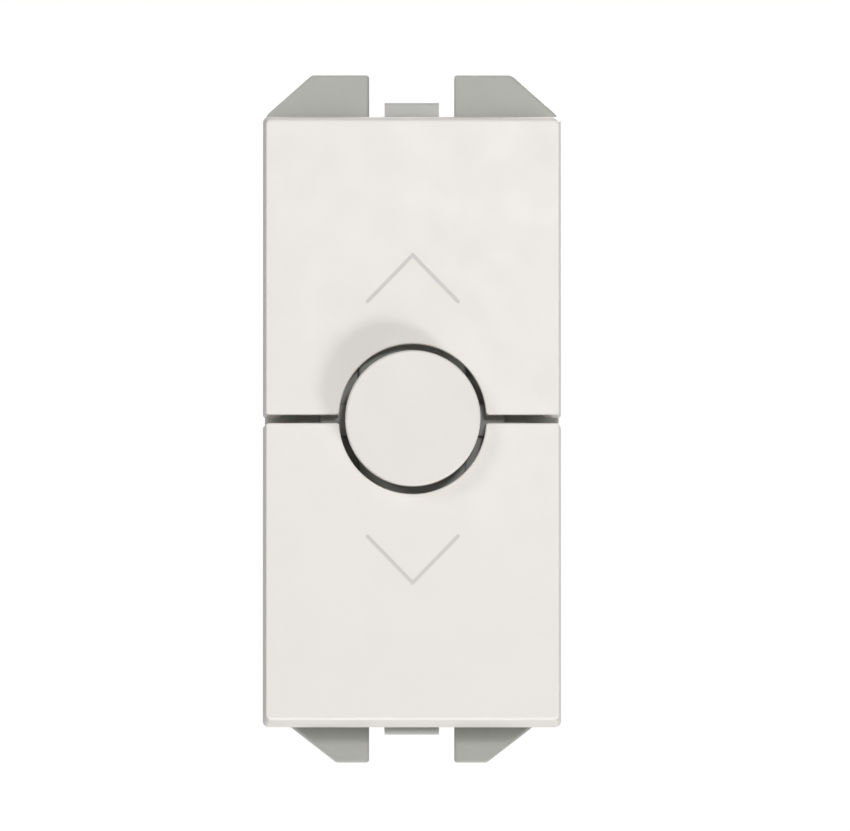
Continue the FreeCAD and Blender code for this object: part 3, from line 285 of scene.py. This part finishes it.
def paint(material, *nodes):
    """Gives CAD nodes a material."""
    for name in nodes:
        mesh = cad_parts[name].data
        mesh.materials.clear()
        mesh.materials.append(material)


def paint_outside():
    """The white faces, the grey chassis and latches, and the housing."""
    paint(moulded("key_plastic", KEY_WHITE, 0.36), "upper_key", "lower_key")
    paint(moulded("button_plastic", BUTTON_WHITE, 0.40), "centre_button")
    paint(moulded("chassis_plastic", CHASSIS_GREY, 0.50, 0.2 * MM, 0.008 * MM, 0.03), "chassis")
    latch = moulded("latch_plastic", LATCH_GREY, 0.46, 0.2 * MM, 0.006 * MM, 0.02)
    paint(latch, "upper_latch", "lower_latch")
    paint(moulded("housing_plastic", HOUSING_GREY, 0.55, 0.22 * MM, 0.014 * MM, 0.04), "rear_housing")
    paint(moulded("retainer_plastic", RETAINER_CREAM, 0.5, variation=0.03), "terminal_retainer")


def paint_boards_and_switches():
    """The two boards with their flat parts, the switches, and the pins that link the boards."""
    paint(laminate("board_laminate"), "key_board", "main_board")
    paint(small_parts("surface_mount"), "key_board_parts", "main_board_parts")
    black = moulded("black_plastic", BLACK, 0.45, variation=0.2)
    cover = metal("switch_cover_steel", STEEL, 0.30, stretch=(0.1, 1, 1))
    ivory = moulded("plunger_plastic", IVORY, 0.4, variation=0.03)
    for place in ("upper", "centre", "lower"):
        paint(black, f"{place}_switch")
        paint(cover, f"{place}_switch_cover")
        paint(ivory, f"{place}_plunger")
    pins_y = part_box("board_link")[0].y + LINK_BODY
    paint(pin_strip("link_pins", pins_y), "board_link")


def paint_power_parts():
    """The choke, capacitors, varistor, fuse, transistors and their heat sink."""
    paint(moulded("core_coating", CORE_YELLOW, 0.5, 0.3 * MM, 0.02 * MM, 0.06), "choke_core")
    paint(enamel("winding_enamel"), "choke_winding")
    paint(moulded("film_case", FILM_YELLOW, 0.32, variation=0.04), "film_capacitor")
    low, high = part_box("smoothing_capacitor")
    sleeve = capped("can_sleeve", SLEEVE_BLUE, "Z", low.z + SLEEVE_BASE, high.z - SLEEVE_TOP)
    paint(sleeve, "smoothing_capacitor")
    paint(moulded("varistor_coating", VARISTOR_BLUE, 0.33, 0.25 * MM, 0.012 * MM, 0.08), "varistor")
    low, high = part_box("fuse")
    paint(capped("fuse_body", CERAMIC, "Z", low.z + FUSE_CAP, high.z - FUSE_CAP), "fuse")
    sink = metal("heat_sink_aluminium", ALUMINIUM, 0.38, stretch=(1, 1, 0.06), depth=0.005 * MM)
    paint(sink, "heat_sink")
    for side in ("upper", "lower"):
        name = f"{side}_transistor"
        low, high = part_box(name)
        tab, legs = low.y + TRANSISTOR_TAB, high.y - TRANSISTOR_LEGS
        paint(capped(name, BLACK, "Y", tab, legs, 0.42), name)


def paint_fixings():
    """Screws, terminal cages and contacts."""
    zinc = metal("zinc_steel", ZINC, 0.34)
    brass = metal("contact_brass", BRASS, 0.30, stretch=(1, 1, 0.1))
    paint(zinc, "upper_transistor_screw", "lower_transistor_screw")
    for terminal in TERMINALS:
        paint(zinc, f"{terminal}_cage", f"{terminal}_screw")
        paint(brass, f"{terminal}_contact")


# ---------------------------------------------------------------- pieces made here
FACE_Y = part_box("upper_key")[0].y
MARK_TIP_Z = 12.15 * MM         # the chevrons: a stroke from a foot on each side up to the tip
MARK_FOOT_Z = 8.7 * MM
MARK_HALF_W = 3.35 * MM
INK_WIDTH = 0.25 * MM           # a little narrower than the groove
INK_TOP = 0.012 * MM            # the ink lies this far below the key's face
INK_BOTTOM = 0.055 * MM
BUTTON_WIRE_R = 0.2 * MM
BUTTON_TURNS = 5
KEY_WIRE_R = 0.17 * MM
KEY_TURNS = 7
STRIP_T = 0.15 * MM
PANEL_DEPTH = 0.25 * MM         # how far the housing's panels are recessed
SIDE_PANEL = ((7.0 * MM, 24.0 * MM), (-9.0 * MM, 15.0 * MM))    # y and z of the label's panel
LABEL_CORNER_R = 1.6 * MM       # less each layer's inset
LABEL_CORNER_MIN = 0.4 * MM
SINK = 0.02 * MM                # how far a mark on the rear begins inside the wall
DOT_Z = -7.3 * MM
DOT_R = 0.25 * MM
DOT_RISE = 0.2 * MM
DOT_PITCH = 0.8 * MM
EJECTOR_X = 5.4 * MM
EJECTOR_Z = (-4.6 * MM, 11.2 * MM)
EJECTOR_PROFILE = ((1.3 * MM, 0.0), (1.3 * MM, 0.05 * MM), (1.22 * MM, 0.07 * MM))     # radius, rise
SOLDER_PROFILE = ((0.85, 0.0), (0.62, 0.1), (0.45, 0.28), (0.36, 0.5), (0.2, 0.62))    # the same, in mm
SOLDERED_LEADS = {              # y and z, in mm, where each lead meets the main board
    "film_capacitor": ((23.2, 4.7), (23.2, 14.7)),
    "varistor": ((16.6, -5.0), (20.6, -5.0)),
    "fuse": ((25.6, -5.5), (25.6, 1.1)),
}


def circle(steps):
    """Points round a circle of radius 1."""
    return [(math.cos(2 * math.pi * k / steps), math.sin(2 * math.pi * k / steps)) for k in range(steps)]


def closed_mesh(name, rings, smooth=True):
    """A closed mesh through rings of equally many points, its two ends capped."""
    count = len(rings[0])
    faces = []
    for start in range(0, count * (len(rings) - 1), count):
        for k in range(count):
            a, b = start + k, start + (k + 1) % count
            faces.append((a, b, b + count, a + count))
    faces.append(tuple(range(count)))
    faces.append(tuple(range(count * (len(rings) - 1), count * len(rings))))
    mesh = bpy.data.meshes.new(name)
    mesh.from_pydata([point for ring in rings for point in ring], [], faces)
    shell = bmesh.new()
    shell.from_mesh(mesh)
    bmesh.ops.recalc_face_normals(shell, faces=shell.faces)
    shell.to_mesh(mesh)
    shell.free()
    if smooth:
        mesh.shade_smooth()
        mesh.set_sharp_from_angle(angle=math.radians(40))
    return mesh


def add_piece(name, mesh, material, body, node=None):
    """A piece that moves with a body, in place of a CAD node if one is named."""
    mesh.materials.append(material)
    piece = bpy.data.objects.new(name, mesh)
    bpy.context.scene.collection.objects.link(piece)
    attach(piece, body)
    if node:
        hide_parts(node)
    return piece


def chevron_outline(width, sign):
    """Outline in x, z of a V-shaped stroke with round ends; it points up where sign is 1."""
    steps = 8
    lean = math.atan2(MARK_TIP_Z - MARK_FOOT_Z, MARK_HALF_W)
    rise = width / 2 / math.cos(lean)
    right = []
    for k in range(steps + 1):
        angle = math.pi / 2 - lean - math.pi * k / steps
        right.append((MARK_HALF_W + math.cos(angle) * width / 2, MARK_FOOT_Z + math.sin(angle) * width / 2))
    left = [(-x, z) for x, z in reversed(right)]
    outline = [(0, MARK_TIP_Z + rise)] + right + [(0, MARK_TIP_Z - rise)] + left
    return [(x, sign * z) for x, z in outline]


def add_chevrons():
    """The printed ink in the keys' direction marks, slightly sunk at its middle."""
    ink = moulded("mark_ink", MARK_GREY, 0.5, 0.06 * MM, 0.002 * MM, 0.03)
    for body, sign in (("upper_key", 1), ("lower_key", -1)):
        layers = ((INK_WIDTH, INK_BOTTOM), (INK_WIDTH, INK_TOP), (INK_WIDTH * 0.7, INK_TOP + 0.006 * MM))
        rings = [[(x, FACE_Y + depth, z) for x, z in chevron_outline(width, sign)] for width, depth in layers]
        add_piece(f"{body}_mark", closed_mesh(f"{body}_mark", rings, False), ink, body)


def coil_rings(node, wire_r, turns):
    """Rings along a compression spring that fills its node's box; its end turns are closed."""
    low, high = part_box(node)
    middle = (low + high) / 2
    mean_r = (high.x - low.x) / 2 - wire_r
    start, end = low.y + wire_r, high.y - wire_r
    closed = 0.9                        # how much of a turn lies closed at each end
    closed_pitch = 2.05 * wire_r
    closed_rise = closed * closed_pitch
    open_pitch = (end - start - 2 * closed_rise) / (turns - 2 * closed)
    per_turn = 30                       # rings in each turn
    section = circle(10)
    rings = []
    for step in range(int(turns * per_turn) + 1):
        turn = step / per_turn
        if turn < closed:
            y, pitch = start + turn * closed_pitch, closed_pitch
        elif turn > turns - closed:
            y, pitch = end - (turns - turn) * closed_pitch, closed_pitch
        else:
            y, pitch = start + closed_rise + (turn - closed) * open_pitch, open_pitch
        angle = 2 * math.pi * turn
        outward = Vector((math.cos(angle), 0, math.sin(angle)))
        along = Vector((-math.sin(angle), pitch / (2 * math.pi * mean_r), math.cos(angle))).normalized()
        across = along.cross(outward)
        centre = Vector((middle.x, y, middle.z)) + outward * mean_r
        rings.append([centre + (outward * a + across * b) * wire_r for a, b in section])
    return rings


def strip_rings(node, thickness):
    """Rings along a bowed strip with flat feet that fills its node's box."""
    low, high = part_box(node)
    side = 1 if low.z > 0 else -1
    foot_z = low.z if side > 0 else high.z
    rise = high.z - low.z - thickness
    steps = 28
    rings = []
    for k in range(steps + 1):
        share = k / steps
        z = foot_z + side * rise * (1 - math.cos(2 * math.pi * share)) / 2
        y = low.y + (high.y - low.y) * share
        outer_z = z + side * thickness
        rings.append([(low.x, y, z), (high.x, y, z), (high.x, y, outer_z), (low.x, y, outer_z)])
    return rings


def add_springs():
    """Coils and strips of steel wire, built in place of the spring nodes."""
    wire = metal("spring_wire", STEEL, 0.28)
    coil = closed_mesh("button_coil", coil_rings("button_spring", BUTTON_WIRE_R, BUTTON_TURNS))
    piece = add_piece("button_coil", coil, wire, "module", "button_spring")
    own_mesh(piece)
    for side, sign in (("upper", 1), ("lower", -1)):
        name, node = f"{side}_key_coil", f"{side}_key_spring"
        coil = closed_mesh(name, coil_rings(node, KEY_WIRE_R, KEY_TURNS))
        piece = add_piece(name, coil, wire, "module", node)
        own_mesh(piece)
        name, node = f"{side}_latch_strip", f"{side}_latch_spring"
        strip = closed_mesh(name, strip_rings(node, STRIP_T))
        piece = add_piece(name, strip, wire, "module", node)
        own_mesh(piece)


def rounded_rectangle(across, up, radius):
    """Outline of a rectangle between two (low, high) pairs, with round corners."""
    steps = 6
    outline = []
    corners = ((1, 1, 0), (0, 1, 1), (0, 0, 2), (1, 0, 3))
    for a, b, quarter in corners:
        centre_a = across[a] - radius if a else across[a] + radius
        centre_b = up[b] - radius if b else up[b] + radius
        for k in range(steps + 1):
            angle = math.pi / 2 * (quarter + k / steps)
            outline.append((centre_a + math.cos(angle) * radius, centre_b + math.sin(angle) * radius))
    return outline


def add_side_label():
    """A blank film label in the side panel, with a printed border."""
    outer_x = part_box("rear_housing")[1].x - PANEL_DEPTH
    film = moulded("label_film", LABEL_WHITE, 0.32, 0.3 * MM, 0.003 * MM, 0.015)
    ink = moulded("label_ink", LABEL_INK, 0.4, 0.1 * MM, 0.002 * MM, 0.04)
    y, z = SIDE_PANEL
    # each layer's inset from the panel's edge, and its bottom and top, in mm
    layers = ((0.7, 0.0, 0.06, "side_label", film, "label_film"),
              (1.5, 0.06, 0.075, "side_label_border", ink, "mark_ink"),
              (1.8, 0.075, 0.09, "side_label_field", film, "label_film"))
    for inset, low, high, name, material, slot in layers:
        inset, low, high = inset * MM, low * MM, high * MM
        radius = max(LABEL_CORNER_R - inset, LABEL_CORNER_MIN)
        outline = rounded_rectangle((y[0] + inset, y[1] - inset), (z[0] + inset, z[1] - inset), radius)
        rings = [[(outer_x + lift, a, b) for a, b in outline] for lift in (low, high)]
        add_piece(name, closed_mesh(name, rings, False), material, "module")


def dome_rings(centre, radius, height):
    """Rings of a low round bump that rises along Y from centre."""
    rings = []
    for share in (0.0, 0.35, 0.65, 0.85, 0.97):
        r = radius * math.sqrt(1 - share * share)
        y = centre[1] + height * share
        rings.append([(centre[0] + r * a, y, centre[2] + r * b) for a, b in circle(20)])
    return rings


def add_rear_marks():
    """Raised dots that count off the terminals, and the mould's round ejector marks."""
    base_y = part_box("rear_housing")[1].y - PANEL_DEPTH - SINK
    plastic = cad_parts["rear_housing"].data.materials[0]
    for count, terminal in enumerate(TERMINALS, start=1):
        low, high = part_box(f"{terminal}_screw")
        middle = (low.x + high.x) / 2
        for k in range(count):
            x = middle + (k - (count - 1) / 2) * DOT_PITCH
            name = f"{terminal}_dot_{k + 1}"
            rings = dome_rings((x, base_y, DOT_Z), DOT_R, DOT_RISE)
            add_piece(name, closed_mesh(name, rings), plastic, "module")
    places = [(x, z) for z in EJECTOR_Z for x in (-EJECTOR_X, EJECTOR_X)]
    for index, (x, z) in enumerate(places, start=1):
        name = f"ejector_mark_{index}"
        rings = [[(x + r * a, base_y + rise, z + r * b) for a, b in circle(32)]
                 for r, rise in EJECTOR_PROFILE]
        add_piece(name, closed_mesh(name, rings), plastic, "module")


def add_solder():
    """A fillet of solder round each lead where it meets the main board."""
    tin = metal("solder_tin", TIN, 0.22, depth=0.008 * MM)
    board_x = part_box("main_board")[0].x
    for node, places in SOLDERED_LEADS.items():
        for number, (y, z) in enumerate(places, start=1):
            name = f"{node}_solder_{number}"
            rings = [[(board_x - rise * MM, (y + r * a) * MM, (z + r * b) * MM) for a, b in circle(20)]
                     for r, rise in SOLDER_PROFILE]
            add_piece(name, closed_mesh(name, rings), tin, "module")


# ---------------------------------------------------------------- stage, light and camera
VIEW_WIDTH = 62.96 * MM         # what the view spans at the keys' face
VIEW_DISTANCE = 1.2
VIEW_RISE = math.radians(2.0)   # the camera looks up by this much
VIEW_TURN = math.radians(0.5)   # and to the right by this much
AIM = Vector((0.915 * MM, FACE_Y, 0.244 * MM))
FLOOR_Z = CAD_LOW.z - 400 * MM  # well below the module
FLOOR_HALF_SIZE = 3.0
FLOOR_GLOW = 0.42               # lifts the floor to the backdrop's tone, for camera rays only


def add_camera():
    """A distant camera with a long lens, a little below and to the left of straight on."""
    data = bpy.data.cameras.new("camera")
    data.sensor_width = 36.0
    data.lens = data.sensor_width * VIEW_DISTANCE / VIEW_WIDTH
    data.clip_start = 0.05
    data.clip_end = 20.0
    camera = bpy.data.objects.new("camera", data)
    bpy.context.scene.collection.objects.link(camera)
    level = Vector((math.sin(VIEW_TURN), math.cos(VIEW_TURN), 0))
    sight = level * math.cos(VIEW_RISE) + Vector((0, 0, math.sin(VIEW_RISE)))
    camera.location = AIM - sight * VIEW_DISTANCE
    camera.rotation_mode = "QUATERNION"
    camera.rotation_quaternion = sight.to_track_quat("-Z", "Y")
    bpy.context.scene.camera = camera


def add_floor():
    """A plain pale floor."""
    mesh = bpy.data.meshes.new("floor")
    half = FLOOR_HALF_SIZE
    corners = [(-half, -half), (half, -half), (half, half), (-half, half)]
    mesh.from_pydata([(x, y, FLOOR_Z) for x, y in corners], [], [(0, 1, 2, 3)])
    floor = bpy.data.objects.new("floor", mesh)
    bpy.context.scene.collection.objects.link(floor)
    g = Graph("floor_paint")
    base = g.blend(g.noise(0.2, 3), (0.78, 0.78, 0.77), (0.82, 0.82, 0.81))
    seen = g.node("ShaderNodeLightPath").outputs["Is Camera Ray"]
    g.feed(g.surface.inputs["Emission Color"], (1, 1, 1, 1))
    g.feed(g.surface.inputs["Emission Strength"], g.math("MULTIPLY", seen, FLOOR_GLOW))
    sheen = g.spread(g.noise(0.05, 2), 0.55, 0.7)
    mesh.materials.append(g.finish(base, sheen, g.bump(g.noise(0.004, 2), 0.0001)))


def add_light(name, place, size, power):
    """A round softbox that faces the module."""
    data = bpy.data.lights.new(name, "AREA")
    data.shape = "DISK"
    data.size = size
    data.energy = power
    lamp = bpy.data.objects.new(name, data)
    bpy.context.scene.collection.objects.link(lamp)
    lamp.location = Vector(place)
    lamp.rotation_mode = "QUATERNION"
    lamp.rotation_quaternion = (-Vector(place)).to_track_quat("-Z", "Y")
    return lamp


def shield(lamp, *nodes):
    """Keeps a lamp's light off the nodes, as a flag on a stand would."""
    flag = bpy.data.collections.new(f"{lamp.name}_flag")
    for name in nodes:
        flag.objects.link(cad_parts[name])
    for entry in flag.collection_objects:
        entry.light_linking.link_state = "EXCLUDE"
    lamp.light_linking.receiver_collection = flag


def add_world(seen, lit):
    """A backdrop of brightness seen behind the object, which lights it with lit."""
    world = bpy.data.worlds.new("studio")
    bpy.context.scene.world = world
    world.use_nodes = True
    tree = world.node_tree
    backdrop = tree.nodes["Background"]
    path = tree.nodes.new("ShaderNodeLightPath")
    mix = tree.nodes.new("ShaderNodeMix")
    mix.inputs["A"].default_value = lit
    mix.inputs["B"].default_value = seen
    tree.links.new(path.outputs["Is Camera Ray"], mix.inputs["Factor"])
    tree.links.new(mix.outputs["Result"], backdrop.inputs["Strength"])
    backdrop.inputs["Color"].default_value = (1, 1, 1, 1)


def light_studio():
    """A frontal key light, fills round the module, and a back light for the housing."""
    bpy.context.scene.view_settings.view_transform = "Standard"
    add_world(seen=1.02, lit=0.385)
    add_light("front_softbox", place=(0.045, -0.5, 0.072), size=0.038, power=0.45)
    add_light("upper_left_softbox", place=(-0.20, -0.285, 0.125), size=0.12, power=0.21)
    lower_right = add_light("lower_right_softbox", place=(0.314, -0.35, -0.389), size=0.155, power=1.44)
    shield(lower_right, "chassis", "upper_latch", "lower_latch")
    add_light("top_softbox", place=(0.0, -0.16, 0.30), size=0.18, power=0.078)
    add_light("low_softbox", place=(-0.04, 0.02, -0.39), size=0.16, power=0.34)
    add_light("back_softbox", place=(0.35, 1.0, 0.55), size=0.6, power=9.0)


paint_outside()
paint_boards_and_switches()
paint_power_parts()
paint_fixings()
add_chevrons()
add_springs()
add_side_label()
add_rear_marks()
add_solder()
add_floor()
add_camera()
light_studio()
